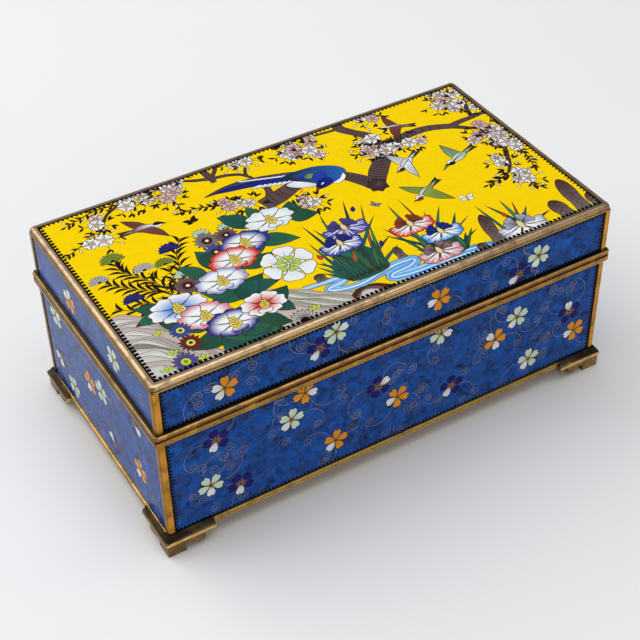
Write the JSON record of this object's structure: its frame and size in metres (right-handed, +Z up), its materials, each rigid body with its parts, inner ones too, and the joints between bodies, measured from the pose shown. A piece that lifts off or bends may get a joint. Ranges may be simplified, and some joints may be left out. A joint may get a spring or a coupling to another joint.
{
  "type": "cloisonne enamel box",
  "caption": "Rectangular cloisonne box with a lift-off lid: blue enamel walls, a yellow bird and flower top and gilt brass mounts on bracket feet.",
  "frame": {"origin": "on the floor, under the middle of the box", "axes": "+X along the length, +Z up, the front shown in the picture towards -Y"},
  "size_m": [0.1846, 0.1026, 0.0755],
  "materials": {
    "gilt_brass": "worn gilt, brown patina",
    "blue_enamel": "polished enamel",
    "yellow_enamel": "polished enamel"
  },
  "bodies": {
    "root": {"base_plate": "gilt_brass", "base_front_panel": "blue_enamel", "base_right_panel": "blue_enamel", "base_back_panel": "blue_enamel", "base_left_panel": "blue_enamel", "base_post_front_left": "gilt_brass", "base_post_front_right": "gilt_brass", "base_post_back_right": "gilt_brass", "base_post_back_left": "gilt_brass", "base_rim": "gilt_brass", "foot_front_left": "gilt_brass", "foot_front_right": "gilt_brass", "foot_back_right": "gilt_brass", "foot_back_left": "gilt_brass", "lid_rim": "gilt_brass", "lid_front_panel": "blue_enamel", "lid_right_panel": "blue_enamel", "lid_back_panel": "blue_enamel", "lid_left_panel": "blue_enamel", "lid_post_front_left": "gilt_brass", "lid_post_front_right": "gilt_brass", "lid_post_back_right": "gilt_brass", "lid_post_back_left": "gilt_brass", "lid_top_frame": "gilt_brass", "lid_top_panel": "yellow_enamel"}
  },
  "joints": []
}
